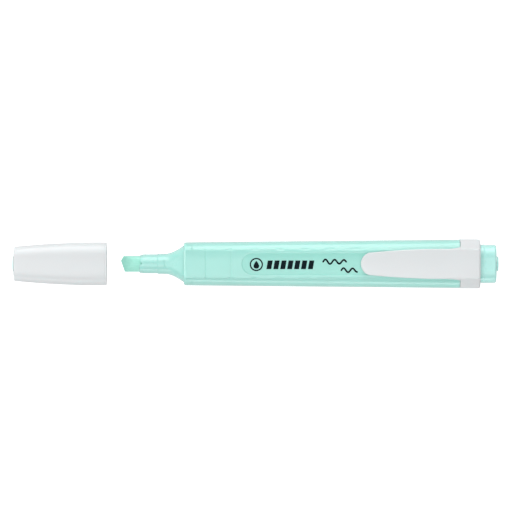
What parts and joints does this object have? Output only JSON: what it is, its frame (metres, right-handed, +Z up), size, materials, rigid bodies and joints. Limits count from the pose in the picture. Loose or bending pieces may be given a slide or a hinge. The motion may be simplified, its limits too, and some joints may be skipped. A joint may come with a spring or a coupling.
{
  "type": "highlighter",
  "caption": "Flat-bodied pocket highlighter with a chisel nib, a spring clip on a rear band, and its pull-off cap drawn off in line with the nib.",
  "frame": {"origin": "on the surface that the flat back lies on, under the middle of the whole object with its cap drawn off", "axes": "+X along the pen from the cap and nib towards the tail, +Y across the pen, +Z up from the flat back through the clip"},
  "size_m": [0.1604, 0.0162, 0.0132],
  "materials": {
    "barrel_plastic": "semi-gloss pastel turquoise",
    "section_plastic": "semi-gloss pastel turquoise",
    "plug_plastic": "semi-gloss pastel turquoise",
    "insert_plastic": "semi-gloss pastel turquoise",
    "nib_fibre": "porous pressed fibre soaked in pastel ink",
    "reservoir_fibre": "soft fibre soaked in pastel ink",
    "film_plastic": "thin clear film",
    "clip_plastic": "satin pale grey-white",
    "cap_plastic": "satin pale grey-white"
  },
  "bodies": {
    "pen": {"barrel": "barrel_plastic", "front_section": "section_plastic", "nib": "nib_fibre", "reservoir_core": "reservoir_fibre", "reservoir_film": "film_plastic", "end_plug": "plug_plastic", "clip_band": "clip_plastic"},
    "clip": {"clip_arm": "clip_plastic"},
    "cap": {"cap_shell": "cap_plastic", "cap_insert": "insert_plastic"}
  },
  "joints": [
    {"name": "cap_slide", "type": "slide", "parent": "pen", "child": "cap", "axis": [1, 0, 0], "range_m": [0, 0.0254]},
    {"name": "clip_flex", "type": "hinge", "parent": "pen", "child": "clip", "pos_m": [0.06738, 0, 0.0125], "axis": [0, 1, 0], "range_deg": [0, 4], "stiffness_Nm_per_rad": 1.2}
  ]
}
